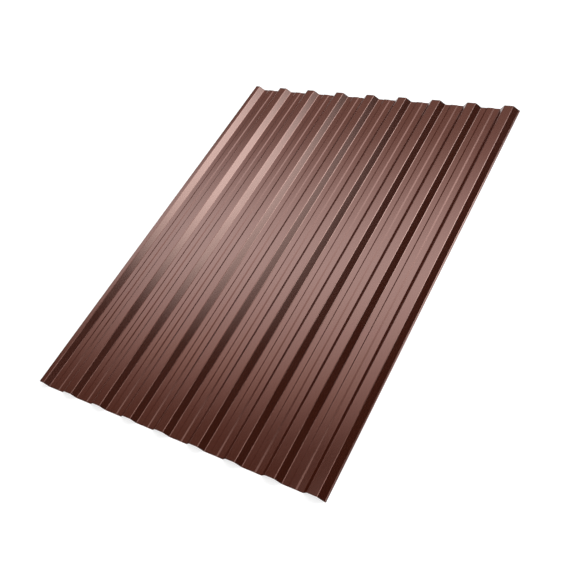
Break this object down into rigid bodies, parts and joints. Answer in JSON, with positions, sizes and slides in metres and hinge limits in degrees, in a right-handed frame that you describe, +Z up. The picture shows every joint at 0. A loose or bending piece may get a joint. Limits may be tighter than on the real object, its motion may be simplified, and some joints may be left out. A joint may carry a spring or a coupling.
{
  "type": "corrugated metal sheet",
  "caption": "Trapezoidal corrugated steel sheet with a brown coat: flat-topped ribs, shallow stiffening beads along the valleys, and edges that lap onto the next sheet.",
  "frame": {"origin": "on the ground under the middle of the sheet, which lies with its valleys down", "axes": "+X across the ribs towards the edge with the lip, +Y along the ribs, +Z up"},
  "size_m": [1.14, 1.535, 0.0185],
  "materials": {
    "coated_steel": "satin brown coil coating"
  },
  "bodies": {
    "root": {"profiled_sheet": "coated_steel"}
  },
  "joints": []
}
